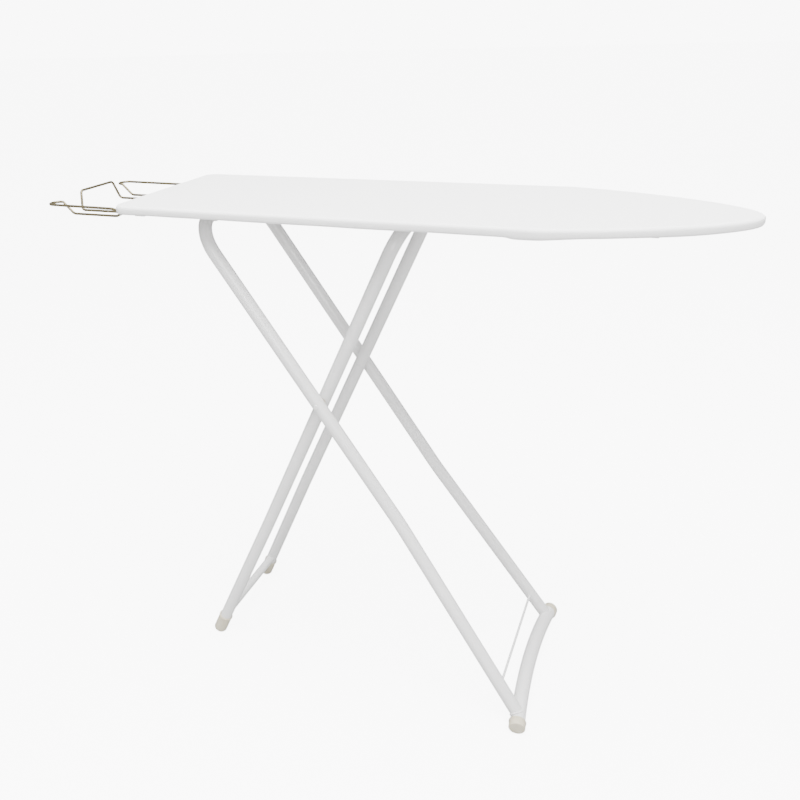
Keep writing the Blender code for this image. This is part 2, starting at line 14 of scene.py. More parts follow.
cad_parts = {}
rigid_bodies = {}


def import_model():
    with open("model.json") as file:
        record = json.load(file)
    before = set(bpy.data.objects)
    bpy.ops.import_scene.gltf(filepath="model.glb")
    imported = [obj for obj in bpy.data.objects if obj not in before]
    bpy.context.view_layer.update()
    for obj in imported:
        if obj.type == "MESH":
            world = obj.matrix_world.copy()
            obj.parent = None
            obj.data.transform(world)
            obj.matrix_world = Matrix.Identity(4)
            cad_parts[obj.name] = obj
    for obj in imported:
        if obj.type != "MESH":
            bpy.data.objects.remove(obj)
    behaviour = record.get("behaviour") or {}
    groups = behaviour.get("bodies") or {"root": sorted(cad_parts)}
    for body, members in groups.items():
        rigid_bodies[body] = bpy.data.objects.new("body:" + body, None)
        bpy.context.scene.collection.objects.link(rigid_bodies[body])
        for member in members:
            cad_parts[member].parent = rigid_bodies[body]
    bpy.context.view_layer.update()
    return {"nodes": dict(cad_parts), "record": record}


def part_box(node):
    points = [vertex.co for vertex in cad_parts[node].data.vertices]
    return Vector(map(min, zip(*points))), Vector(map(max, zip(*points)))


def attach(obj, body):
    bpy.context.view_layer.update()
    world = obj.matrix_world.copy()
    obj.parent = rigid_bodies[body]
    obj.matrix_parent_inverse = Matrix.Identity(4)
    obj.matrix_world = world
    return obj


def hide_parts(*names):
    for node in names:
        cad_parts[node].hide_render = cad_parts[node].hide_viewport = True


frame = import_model()

LOG = logging.getLogger("ironing_board")
Route = list[Vector]

# Slopes of the two legs in degrees, and the camera's place from the foot of the tail's edge
OUTER_SLOPE = 55.17
INNER_SLOPE = 65.07
EYE_FROM_TAIL = (0.8507, -1.2198, 1.1029)


class Body(Enum):
    """Rigid bodies that carry the pieces built here."""

    BOARD = "board"
    OUTER = "outer_leg"
    INNER = "inner_leg"


class Slot(Enum):
    """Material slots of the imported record."""

    CLOTH = "cover_fabric"
    FELT = "pad_foam"
    PAINT = "painted_steel"
    WIRE = "plated_wire"
    PLASTIC = "foot_plastic"
    RIVET = "rivet_steel"
    SPRING = "spring_steel"


class Side(Enum):
    """The two long sides of the board."""

    NEAR = -1
    FAR = 1

    @property
    def word(self) -> str:
        """Word used in node names."""
        return self.name.lower()


# ---------------------------------------------------------------- shader graph
class Wire:
    """A shader socket or number that takes part in Python arithmetic."""

    def __init__(self, graph: "Graph", source: object) -> None:
        """Keep the graph and the socket or number."""
        self.graph = graph
        self.source = source

    def _math(self, operation: str, first: object, second: object) -> "Wire":
        """Add a Math node.

        Args:
            operation: Name of the Math node's operation.
            first: First value or link.
            second: Second value or link.

        Returns:
            The node's result.
        """
        return self.graph.node("ShaderNodeMath", {"operation": operation}, {0: first, 1: second})

    def __add__(self, other: object) -> "Wire":
        """Sum."""
        return self._math("ADD", self, other)

    def __radd__(self, other: object) -> "Wire":
        """Sum with the number first."""
        return self._math("ADD", other, self)

    def __sub__(self, other: object) -> "Wire":
        """Difference."""
        return self._math("SUBTRACT", self, other)

    def __rsub__(self, other: object) -> "Wire":
        """Difference with the number first."""
        return self._math("SUBTRACT", other, self)

    def __mul__(self, other: object) -> "Wire":
        """Product."""
        return self._math("MULTIPLY", self, other)

    def __rmul__(self, other: object) -> "Wire":
        """Product with the number first."""
        return self._math("MULTIPLY", other, self)

    def __truediv__(self, other: object) -> "Wire":
        """Quotient."""
        return self._math("DIVIDE", self, other)

    def __rtruediv__(self, other: object) -> "Wire":
        """Quotient with the number first."""
        return self._math("DIVIDE", other, self)

    def __pow__(self, other: object) -> "Wire":
        """Power."""
        return self._math("POWER", self, other)


class Graph:
    """Node tree of one Principled material."""

    def __init__(self, name: str) -> None:
        """Start an empty material with its shader and output."""
        self.material = bpy.data.materials.new(name)
        self.material.use_nodes = True
        self.tree = self.material.node_tree
        self.shader = self.tree.nodes["Principled BSDF"]

    def node(self, kind: str, settings: dict[str, object], values: dict[object, object],
             output: object = 0) -> Wire:
        """Add any node.

        Args:
            kind: Type name of the node.
            settings: Attributes, set before the sockets; "stops" fills a colour ramp.
            values: Numbers, colours or wires, by socket name or index.
            output: Name or index of the output that is returned.

        Returns:
            The chosen output.
        """
        made = self.tree.nodes.new(kind)
        for key, value in settings.items():
            if key == "stops":
                self._stops(made, value)
            else:
                setattr(made, key, value)
        for key, value in values.items():
            self._plug(made.inputs[key], value)
        return Wire(self, made.outputs[output])

    def _stops(self, ramp: bpy.types.Node, stops: list[tuple[float, tuple[float, ...]]]) -> None:
        """Fill a colour ramp with its stops."""
        elements = ramp.color_ramp.elements
        while len(elements) < len(stops):
            elements.new(1.0)
        for element, (place, colour) in zip(elements, stops):
            element.position = place
            element.color = (*colour, 1.0)

    def _plug(self, socket: bpy.types.NodeSocket, value: object) -> None:
        """Link a wire to a socket, or set its value."""
        if isinstance(value, Wire) and isinstance(value.source, bpy.types.NodeSocket):
            self.tree.links.new(value.source, socket)
        elif isinstance(value, Wire):
            socket.default_value = value.source
        elif isinstance(value, tuple) and len(value) == 3 and socket.type == "RGBA":
            socket.default_value = (*value, 1.0)
        else:
            socket.default_value = value

    def place(self, scale: tuple[float, float, float] = (1.0, 1.0, 1.0)) -> Wire:
        """Object coordinates, scaled."""
        coordinates = self.node("ShaderNodeTexCoord", {}, {}, "Object")
        return self.node("ShaderNodeMapping", {}, {"Vector": coordinates, "Scale": scale})

    def speckle(self, where: Wire, scale: float, detail: float = 3.0) -> Wire:
        """Noise from 0 to 1."""
        return self.node("ShaderNodeTexNoise", {}, {"Vector": where, "Scale": scale, "Detail": detail},
                         "Fac")

    def threads(self, where: Wire, axis: str, turns: float) -> Wire:
        """Sine ridges from -1 to 1 along one axis of a place."""
        along = self.node("ShaderNodeSeparateXYZ", {}, {"Vector": where}, axis)
        return self.node("ShaderNodeMath", {"operation": "SINE"}, {0: along * turns})

    def blend(self, share: Wire, first: tuple, second: tuple) -> Wire:
        """Colour between two colours."""
        return self.node("ShaderNodeMix", {"data_type": "RGBA"}, {0: share, 6: first, 7: second}, 2)

    def dress(self, **sockets: object) -> None:
        """Set or link the shader's sockets; an underscore stands for a space."""
        for key, value in sockets.items():
            self._plug(self.shader.inputs[key.replace("_", " ")], value)

    def bump(self, height: Wire, strength: float, distance: float) -> None:
        """Feed a height to the shader's normal."""
        normal = self.node("ShaderNodeBump", {}, {"Height": height, "Strength": strength,
                                                  "Distance": distance})
        self.dress(Normal=normal)


# ---------------------------------------------------------------- finishes
@dataclass(frozen=True)
class WovenCotton:
    """Plain woven white cotton of the cover."""

    light: tuple = (0.90, 0.90, 0.895)
    dark: tuple = (0.84, 0.84, 0.835)
    thread: float = 0.0009
    roughness: float = 0.86

    def make(self, name: str) -> bpy.types.Material:
        """Build the material with its crossed threads and soft mottling."""
        graph = Graph(name)
        where = graph.place()
        turns = math.tau / self.thread
        warp = graph.threads(where, "X", turns)
        weft = graph.threads(where, "Y", turns)
        weave = warp * weft * 0.5 + 0.5
        slub = graph.speckle(graph.place((1.0, 6.0, 1.0)), 90.0)
        cloud = graph.speckle(where, 9.0)
        share = 0.55 * slub + 0.25 * cloud + 0.20 * weave
        graph.dress(Base_Color=graph.blend(share, self.dark, self.light))
        graph.dress(Roughness=self.roughness - 0.08 * cloud)
        graph.dress(Sheen_Weight=0.25, Sheen_Roughness=0.5, Specular_IOR_Level=0.25)
        graph.bump(weave * 0.6 + slub * 0.8, 0.20, 0.0003)
        return graph.material


@dataclass(frozen=True)
class NeedleFelt:
    """Pale felt pad under the cover."""

    light: tuple = (0.83, 0.81, 0.75)
    dark: tuple = (0.70, 0.67, 0.60)

    def make(self, name: str) -> bpy.types.Material:
        """Build the material with matted fibres."""
        graph = Graph(name)
        where = graph.place()
        fibre = graph.speckle(graph.place((3.0, 1.0, 1.0)), 260.0, 6.0)
        clump = graph.speckle(where, 40.0)
        graph.dress(Base_Color=graph.blend(0.6 * fibre + 0.4 * clump, self.dark, self.light))
        graph.dress(Roughness=0.92 + 0.06 * clump, Sheen_Weight=0.3)
        graph.bump(fibre, 0.5, 0.0006)
        return graph.material


@dataclass(frozen=True)
class PowderCoat:
    """Glossy pale powder coat on steel."""

    light: tuple = (0.74, 0.735, 0.73)
    dark: tuple = (0.66, 0.655, 0.65)
    roughness: float = 0.22

    def make(self, name: str) -> bpy.types.Material:
        """Build the material with orange peel, dust and faint scuffs."""
        graph = Graph(name)
        where = graph.place()
        peel = graph.speckle(where, 420.0, 2.0)
        dust = graph.speckle(where, 14.0, 4.0)
        scuff = graph.speckle(graph.place((1.0, 1.0, 9.0)), 60.0, 5.0)
        marks = graph.node("ShaderNodeMapRange", {"clamp": True},
                           {"Value": scuff, "From Min": 0.62, "From Max": 0.74})
        graph.dress(Base_Color=graph.blend(dust * 0.7 + (1 - marks) * 0.3, self.dark, self.light))
        graph.dress(Roughness=self.roughness + 0.10 * dust + 0.12 * marks)
        graph.dress(Coat_Roughness=0.12, Specular_IOR_Level=0.5)
        graph.dress(Coat_Weight=0.35 - 0.15 * marks)
        graph.bump(peel, 0.10, 0.0002)
        return graph.material


@dataclass(frozen=True)
class PlatedMetal:
    """Plated or bare steel with fine draw marks."""

    light: tuple
    dark: tuple
    roughness: float
    grain: tuple = (60.0, 400.0, 400.0)

    def make(self, name: str) -> bpy.types.Material:
        """Build the material with tarnish and draw marks."""
        graph = Graph(name)
        where = graph.place()
        tarnish = graph.speckle(where, 55.0, 4.0)
        lines = graph.speckle(graph.place(self.grain), 4.0, 2.0)
        graph.dress(Base_Color=graph.blend(0.7 * tarnish + 0.3 * lines, self.dark, self.light))
        graph.dress(Metallic=1.0 - 0.12 * tarnish, Roughness=self.roughness + 0.16 * tarnish)
        graph.bump(lines, 0.10, 0.0001)
        return graph.material


@dataclass(frozen=True)
class MouldedPlastic:
    """Off-white moulded plastic of the feet and the glide."""

    light: tuple = (0.62, 0.58, 0.46)
    dark: tuple = (0.47, 0.42, 0.31)

    def make(self, name: str) -> bpy.types.Material:
        """Build the material with a satin skin and mottled grime."""
        graph = Graph(name)
        where = graph.place()
        skin = graph.speckle(where, 300.0, 2.0)
        grime = graph.speckle(where, 45.0, 5.0)
        graph.dress(Base_Color=graph.blend(grime * 0.9 + skin * 0.1, self.dark, self.light))
        graph.dress(Roughness=0.36 + 0.18 * grime, Subsurface_Weight=0.10)
        graph.shader.inputs["Subsurface Radius"].default_value = (0.004, 0.003, 0.002)
        graph.bump(skin, 0.12, 0.0002)
        return graph.material


class Palette:
    """One material for each slot of the record."""

    def __init__(self) -> None:
        """Make every finish once."""
        zinc = PlatedMetal((0.66, 0.66, 0.66), (0.42, 0.42, 0.43), 0.24)
        brass_tint = PlatedMetal((0.22, 0.19, 0.11), (0.09, 0.075, 0.045), 0.36)
        blued = PlatedMetal((0.38, 0.38, 0.40), (0.16, 0.16, 0.18), 0.30)
        self.looks = {
            Slot.CLOTH: WovenCotton().make("woven_cotton"),
            Slot.FELT: NeedleFelt().make("needle_felt"),
            Slot.PAINT: PowderCoat().make("powder_coat"),
            Slot.WIRE: brass_tint.make("plated_wire"),
            Slot.PLASTIC: MouldedPlastic().make("moulded_plastic"),
            Slot.RIVET: zinc.make("zinc_steel"),
            Slot.SPRING: blued.make("blued_steel"),
        }

    def of(self, slot: Slot) -> bpy.types.Material:
        """Material of a slot."""
        return self.looks[slot]

    def dress_nodes(self) -> None:
        """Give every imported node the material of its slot."""
        for row in frame["record"]["subparts"]:
            node = frame["nodes"][row["node"]]
            item = node if isinstance(node, bpy.types.Object) else bpy.data.objects[row["node"]]
            look = self.of(Slot(row["material_slot"]))
            for index in range(len(item.material_slots)):
                item.material_slots[index].material = look
            if not item.material_slots:
                item.data.materials.append(look)


# ---------------------------------------------------------------- mesh tools
def add_piece(work: bmesh.types.BMesh, name: str, look: bpy.types.Material,
              body: Body, sharp: float = 40.0) -> bpy.types.Object:
    """Turn a bmesh into a finished piece that rides on a body.

    Args:
        work: The mesh, which is freed.
        name: Name of the piece.
        look: Its material.
        body: The body that it rides on.
        sharp: Angle in degrees past which an edge stays sharp.

    Returns:
        The piece.
    """
    data = bpy.data.meshes.new(name)
    work.to_mesh(data)
    work.free()
    data.materials.append(look)
    data.shade_smooth()
    data.set_sharp_from_angle(angle=math.radians(sharp))
    piece = bpy.data.objects.new(name, data)
    bpy.context.scene.collection.objects.link(piece)
    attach(piece, body.value)
    LOG.info("%s: %d faces on %s", name, len(data.polygons), body.value)
    return piece


def stations(route: Route, closed: bool) -> list[Matrix]:
    """Frames along a route, each turned as little as it can be from the one before.

    Args:
        route: Points of the route.
        closed: Whether the route returns to its start.

    Returns:
        One matrix for each point, with Z along the route.
    """
    count = len(route)
    tangents = []
    for index in range(count):
        before = route[index - 1] if closed or index else route[0]
        after = route[(index + 1) % count] if closed or index < count - 1 else route[-1]
        tangents.append((after - before).normalized())
    turn = tangents[0].to_track_quat("Z", "Y")
    frames = [Matrix.Translation(route[0]) @ turn.to_matrix().to_4x4()]
    for index in range(1, count):
        turn = tangents[index - 1].rotation_difference(tangents[index]) @ turn
        frames.append(Matrix.Translation(route[index]) @ turn.to_matrix().to_4x4())
    return frames


def extrude_ring(work: bmesh.types.BMesh, edges: list) -> tuple[list, list]:
    """Extrude a ring of edges in place.

    Args:
        work: The mesh.
        edges: Edges of the ring.

    Returns:
        The new vertices and the new ring's edges.
    """
    made = bmesh.ops.extrude_edge_only(work, edges=edges)["geom"]
    verts = [item for item in made if isinstance(item, bmesh.types.BMVert)]
    known = set(verts)
    ring = [item for item in made if isinstance(item, bmesh.types.BMEdge)
            and item.verts[0] in known and item.verts[1] in known]
    return verts, ring


def sweep(route: Route, radius: float, sides: int, closed: bool = False) -> bmesh.types.BMesh:
    """Round bar along a route.

    Args:
        route: Points of the route.
        radius: Radius of the bar.
        sides: Sides of its section.
        closed: Whether the bar is an endless ring.

    Returns:
        The mesh, with closed ends.
    """
    frames = stations(route, closed)
    work = bmesh.new()
    bmesh.ops.create_circle(work, cap_ends=False, radius=radius, segments=sides, matrix=frames[0])
    first = list(work.edges)
    ring = first
    for before, after in zip(frames, frames[1:]):
        verts, ring = extrude_ring(work, ring)
        bmesh.ops.transform(work, matrix=after @ before.inverted(), verts=verts)
    if closed:
        bmesh.ops.bridge_loops(work, edges=first + ring)
    else:
        bmesh.ops.edgeloop_fill(work, edges=first)
        bmesh.ops.edgeloop_fill(work, edges=ring)
    bmesh.ops.recalc_face_normals(work, faces=work.faces)
    return work


def lathe(profile: list[tuple[float, float]], place: Matrix, steps: int = 40) -> bmesh.types.BMesh:
    """Turned solid from a profile of radius and height.

    Args:
        profile: Points of the profile, which starts and ends on the axis.
        place: Where the solid's base and axis lie.
        steps: Steps of the full turn.

    Returns:
        The mesh.
    """
    work = bmesh.new()
    verts = [work.verts.new((radius, 0.0, height)) for radius, height in profile]
    edges = [work.edges.new(pair) for pair in zip(verts, verts[1:])]
    bmesh.ops.spin(work, geom=verts + edges, cent=(0, 0, 0), axis=(0, 0, 1), angle=math.tau,
                   steps=steps, use_merge=True)
    bmesh.ops.remove_doubles(work, verts=work.verts, dist=0.00002)
    bmesh.ops.recalc_face_normals(work, faces=work.faces)
    bmesh.ops.transform(work, matrix=place, verts=work.verts)
    return work


def rounded(points: list[tuple[float, float, float]], radius: float, steps: int) -> Route:
    """Route through points, with each inner corner turned into an arc.

    Args:
        points: Corners of the route.
        radius: Radius of each arc, where there is room.
        steps: Steps of each arc.

    Returns:
        The route.
    """
    route = [Vector(points[0])]
    for before, corner, after in zip(points, points[1:], points[2:]):
        corner = Vector(corner)
        back = Vector(before) - corner
        ahead = Vector(after) - corner
        bend = math.pi - back.angle(ahead)
        reach = min(radius * math.tan(bend / 2), back.length * 0.49, ahead.length * 0.49)
        real = reach / max(1e-6, math.tan(bend / 2))
        inward = (back.normalized() + ahead.normalized()).normalized()
        centre = corner + inward * (real / math.cos(bend / 2))
        first = corner + back.normalized() * reach - centre
        last = corner + ahead.normalized() * reach - centre
        for step in range(steps + 1):
            angle = bend * step / steps
            spoke = (first * math.sin(bend - angle) + last * math.sin(angle)) / math.sin(bend)
            route.append(centre + spoke)
    route.append(Vector(points[-1]))
    return route


def divided(route: Route, longest: float) -> Route:
    """Route with no step longer than a given length."""
    result = [route[0]]
    for before, after in zip(route, route[1:]):
        pieces = max(1, math.ceil((after - before).length / longest))
        result += [before.lerp(after, step / pieces) for step in range(1, pieces + 1)]
    return result


# ---------------------------------------------------------------- the padded top
@dataclass
class Top:
    """Cover, felt pad and hem binding, laid out from the tail."""

    palette: Palette
    length: float = 0.94
    taper_start: float = 0.666
    taper_power: float = 1.222
    taper_round: float = 1.745
    tail_corner: float = 0.018
    edge: float = 0.0055
    hem_width: float = 0.014
    cloth: float = 0.0008
    low: Vector = field(init=False)
    high: Vector = field(init=False)

    def __post_init__(self) -> None:
        """Read the cover's place from the frame."""
        low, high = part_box("cover")
        self.low = Vector(low)
        self.high = Vector(high)

    @property
    def half(self) -> float:
        """Half of the board's width."""
        return (self.high.y - self.low.y) / 2

    def nose_end(self, share: float, spare: float) -> float:
        """Where the top ends at a share of its half-width, measured from the tail.

        Args:
            share: Place across the board, from 0 on the centre line to 1 at the side.
            spare: How far the outline is moved inwards.

        Returns:
            Distance from the tail.
        """
        run = self.length - spare - self.taper_start
        rest = max(0.0, 1.0 - share ** self.taper_round)
        return self.taper_start + run * rest ** (1 / self.taper_power)

    def tail_end(self, y: float, spare: float) -> float:
        """Where the top starts at a place across the board, measured from the tail."""
        radius = self.tail_corner - spare * 0.5
        past = abs(y) - (self.half - spare - radius)
        if past <= 0:
            return spare
        return spare + radius - math.sqrt(max(0.0, radius ** 2 - past ** 2))

    def field_mesh(self, spare: float, height: float, along: int, across: int) -> bmesh.types.BMesh:
        """Grid that fills the board's outline.

        Args:
            spare: How far the outline is moved inwards.
            height: Height of the grid.
            along: Cells along the board.
            across: Cells across the board.

        Returns:
            The mesh.
        """
        work = bmesh.new()
        bmesh.ops.create_grid(work, x_segments=along, y_segments=across, size=1.0)
        for vert in work.verts:
            share = math.sin(vert.co.y * math.pi / 2)
            y = share * (self.half - spare)
            start = self.tail_end(y, spare)
            end = self.nose_end(min(1.0, abs(share)), spare)
            along_share = (vert.co.x + 1) / 2
            vert.co = (self.low.x + start + (end - start) * along_share, y, height)
        return work

    def rim_normals(self, work: bmesh.types.BMesh) -> tuple[list, dict]:
        """Open edges of a field, and the outward direction at each of their vertices."""
        edges = [edge for edge in work.edges if edge.is_boundary]
        outward: dict = {}
        for edge in edges:
            run = (edge.verts[1].co - edge.verts[0].co).normalized()
            side = Vector((run.y, -run.x, 0.0))
            middle = (edge.verts[0].co + edge.verts[1].co) / 2
            if side.dot(middle - edge.link_faces[0].calc_center_median()) < 0:
                side = -side
            for vert in edge.verts:
                outward[vert] = outward.get(vert, Vector()) + side
        return edges, {vert: side.normalized() for vert, side in outward.items()}

    def hem_drop(self, x: float, y: float) -> float:
        """How far the hem hangs below its line: a slack stretch starts ahead of the near taper."""
        ripple = 0.0006 * noise.noise(Vector((x * 14, y * 9, 3.1)))
        if y > 0:
            return max(0.0, ripple)
        run = x - self.low.x
        slack = self.ease(run, 0.622, 0.638) * (1 - self.ease(run, 0.650, 0.730))
        return 0.0022 * slack + ripple

    def ease(self, value: float, start: float, end: float) -> float:
        """Smooth step from 0 at start to 1 at end."""
        share = min(1.0, max(0.0, (value - start) / (end - start)))
        return share * share * (3 - 2 * share)

    def pucker(self, x: float, y: float) -> float:
        """Small folds that the drawn hem pulls into the cloth."""
        fine = noise.noise(Vector((x * 62, y * 62, 0.4)))
        broad = noise.noise(Vector((x * 17, y * 17, 7.9)))
        return 0.6 * fine + 0.4 * broad

    def profile(self) -> list[tuple[float, float, float]]:
        """Edge of the cover: outward reach, drop, and how much the folds show there."""
        quarter = [math.pi / 2 * step / 5 for step in range(1, 6)]
        depth = self.high.z - self.low.z
        rows = [(self.edge * math.sin(a), self.edge * (1 - math.cos(a)), 0.05) for a in quarter]
        rows += [(self.edge, depth * 0.50, 0.25), (self.edge, depth * 0.75, 0.5)]
        rows += [(self.edge - 0.0004, depth - 0.0022, 0.8), (self.edge - 0.0016, depth - 0.0006, 1.0)]
        rows += [(self.edge - 0.0030, depth, 1.0), (self.edge - self.hem_width * 0.6, depth, 1.6)]
        rows += [(self.edge - self.hem_width, depth, 2.0)]
        return rows

    def build_cover(self) -> bpy.types.Object:
        """Stretched cover: top, rounded edge, side and drawn hem under the rim."""
        work = self.field_mesh(self.edge, self.high.z, 150, 48)
        ring, outward = self.rim_normals(work)
        base = {vert: vert.co.copy() for vert in outward}
        owner = {vert: vert for vert in outward}
        for reach, drop, folds in self.profile():
            verts, ring_next = extrude_ring(work, ring)
            lookup = {tuple(round(c, 6) for c in vert.co): source for vert, source in owner.items()}
            owner = {vert: lookup[tuple(round(c, 6) for c in vert.co)] for vert in verts}
            for vert, source in owner.items():
                start = base[source]
                side = outward[source]
                fold = self.pucker(start.x, start.y) * folds
                low_share = max(0.0, drop / (self.high.z - self.low.z) - 0.5) * 2
                sag = self.hem_drop(start.x, start.y) * low_share
                vert.co = start + side * (reach + 0.0005 * min(fold, 0.0) - 0.0003 * folds)
                vert.co.z = self.high.z - drop - sag - 0.0002 * abs(fold)
            ring = ring_next
        self.soften(work)
        bmesh.ops.recalc_face_normals(work, faces=work.faces)
        piece = add_piece(work, "cover_cloth", self.palette.of(Slot.CLOTH), Body.BOARD, 60.0)
        wall = piece.modifiers.new("cloth", "SOLIDIFY")
        wall.thickness = self.cloth
        wall.offset = -1.0
        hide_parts("cover")
        return piece

    def soften(self, work: bmesh.types.BMesh) -> None:
        """Let the pad under the cloth show as a faint unevenness of the top."""
        for vert in work.verts:
            if vert.co.z < self.high.z - 0.0001:
                continue
            swell = noise.noise(Vector((vert.co.x * 7, vert.co.y * 12, 1.7)))
            vert.co.z -= 0.00025 * (1 + swell)

    def build_pad(self) -> bpy.types.Object:
        """Felt slab between the cover and the deck."""
        low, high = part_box("pad")
        spare = self.edge + 0.0008
        work = self.field_mesh(spare, high[2] - 0.0006, 60, 20)
        ring, outward = self.rim_normals(work)
        base = {tuple(round(c, 6) for c in vert.co): side for vert, side in outward.items()}
        for step_out, drop in ((0.0030, 0.0008), (0.0008, 0.0022), (0.0, 0.0032)):
            verts, ring = extrude_ring(work, ring)
            moved = {}
            for vert in verts:
                side = base[tuple(round(c, 6) for c in vert.co)]
                vert.co += side * step_out
                vert.co.z = high[2] - 0.0006 - drop
                moved[tuple(round(c, 6) for c in vert.co)] = side
            base = moved
        bmesh.ops.holes_fill(work, edges=ring)
        bmesh.ops.recalc_face_normals(work, faces=work.faces)
        piece = add_piece(work, "felt_pad", self.palette.of(Slot.FELT), Body.BOARD)
        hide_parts("pad")
        return piece

    def build_binding(self) -> bpy.types.Object:
        """Drawn cord casing along the hem's inner edge, under the board."""
        inset = self.hem_width + 0.0012
        work = self.field_mesh(inset, self.low.z - 0.0008, 150, 48)
        edges = [edge for edge in work.edges if edge.is_boundary]
        route = self.walk(edges)
        work.free()
        for point in route:
            point.z -= 0.0005 * abs(self.pucker(point.x, point.y))
        ring = sweep(route, 0.0016, 8, closed=True)
        return add_piece(ring, "hem_binding", self.palette.of(Slot.CLOTH), Body.BOARD)

    def walk(self, edges: list) -> Route:
        """Points of a ring of edges, in order."""
        near: dict = {}
        for edge in edges:
            for vert in edge.verts:
                near.setdefault(vert, []).append(edge.other_vert(vert))
        start = edges[0].verts[0]
        order = [start]
        before, here = start, near[start][0]
        while here is not start:
            order.append(here)
            ahead = [vert for vert in near[here] if vert is not before]
            before, here = here, ahead[0]
        return [vert.co.copy() for vert in order]

    def build(self) -> None:
        cover = self.build_cover()
        binding = self.build_binding()
        self.build_pad()


# ---------------------------------------------------------------- legs
@dataclass
class Leg:
    """One bent tube frame in the plane of its top axle, with what is welded to it."""

    palette: Palette
    body: Body
    joint: str
    angle: float
    half_top: float
    half_foot: float
    flare: float
    foot: float
    bend: float
    tube: float = 0.011
    weld: float = 0.0015
    axle: Vector = field(init=False)

    def __post_init__(self) -> None:
        """Read the axle's place from the frame's joints."""
        rows = {row["name"]: row for row in frame["record"]["behaviour"]["joints"]}
        self.axle = Vector(rows[self.joint]["pos_m"])

    @property
    def plane(self) -> Matrix:
        """Place of the leg's plane: X down the leg, Y across it."""
        return Matrix.Translation(self.axle) @ Matrix.Rotation(self.angle, 4, "Y")

    def half_at(self, distance: float) -> float:
        """Half-spacing of the tubes at a distance from the axle."""
        share = max(0.0, (distance - self.flare) / (self.foot - self.flare))
        return self.half_top + (self.half_foot - self.half_top) * share

    def route(self, end: float) -> Route:
        """Route of the bent tube, from one foot to the other.

        Args:
            end: Distance of the tube's ends from the axle.

        Returns:
            The route, in place.
        """
        near = [(end, -self.half_at(end), 0), (self.flare, -self.half_top, 0), (0, -self.half_top, 0)]
        far = [(x, -y, z) for x, y, z in reversed(near)]
        top = rounded(near[1:] + far[:2], self.bend, 14)
        lower = rounded([near[0], near[1], tuple(top[1])], 0.45, 8)[:-1]
        other = [Vector((p.x, -p.y, p.z)) for p in reversed(lower)]
        whole = divided(lower + top[1:-1] + other, 0.06)
        return [self.plane @ point for point in whole]

    def add(self, work: bmesh.types.BMesh, name: str, slot: Slot) -> bpy.types.Object:
        """Finish a piece that rides on this leg."""
        return add_piece(work, name, self.palette.of(slot), self.body)

    def tube_between(self, distance: float, radius: float, name: str, node: str) -> None:
        """Straight tube across the leg, with weld beads where it meets the frame."""
        half = self.half_at(distance)
        route = [Vector((distance, -half + 0.004, 0)), Vector((distance, half - 0.004, 0))]
        route = [self.plane @ point for point in divided(route, 0.03)]
        piece = self.add(sweep(route, radius, 24), name, Slot.PAINT)
        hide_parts(node)
        for side in Side:
            ring = []
            for step in range(28):
                turn = math.tau * step / 28
                lift = radius * math.sin(turn)
                reach = half - math.sqrt(self.tube ** 2 - lift ** 2)
                point = Vector((distance + radius * math.cos(turn), side.value * reach, lift))
                ring.append(self.plane @ point)
            bead = sweep(ring, self.weld, 8, closed=True)
            self.add(bead, f"{name}_weld_{side.word}", Slot.PAINT)


@dataclass
class FootCap:
    """Moulded cap over a tube's end, worn flat where it stands."""

    inner: float
    wall: float
    depth: float
    base: float
    floor: float = 0.0

    def profile(self) -> list[tuple[float, float]]:
        """Half section: rounded base, collar and a lip round the tube."""
        outer = self.inner + self.wall
        round_steps = [math.pi / 2 * step / 5 for step in range(6)]
        fillet = min(0.0035, self.base * 0.8)
        rows = [(0.0, -self.base)]
        rows += [(outer - fillet + fillet * math.sin(a), -self.base + fillet * (1 - math.cos(a)))
                 for a in round_steps]
        rows += [(outer, self.depth - 0.0032), (outer + 0.0007, self.depth - 0.0026)]
        rows += [(outer + 0.0007, self.depth - 0.0008), (outer + 0.0002, self.depth)]
        rows += [(self.inner - 0.0002, self.depth), (self.inner - 0.0002, 0.001), (0.0, 0.001)]
        return rows

    def make(self, place: Matrix) -> bmesh.types.BMesh:
        """Turned cap, cut off level with the floor.

        Args:
            place: Place of the tube's end, with Z up the tube.

        Returns:
            The mesh.
        """
        work = lathe(self.profile(), place)
        everything = list(work.verts) + list(work.edges) + list(work.faces)
        bmesh.ops.bisect_plane(work, geom=everything, plane_co=(0, 0, self.floor), plane_no=(0, 0, -1),
                               clear_outer=True)
        open_edges = [edge for edge in work.edges if edge.is_boundary]
        if open_edges:
            bmesh.ops.holes_fill(work, edges=open_edges)
        bmesh.ops.recalc_face_normals(work, faces=work.faces)
        return work


def cap_place(end: Vector, above: Vector) -> Matrix:
    """Place of a cap at a tube's end, with Z towards the point above."""
    return Matrix.Translation(end) @ (above - end).to_track_quat("Z", "Y").to_matrix().to_4x4()


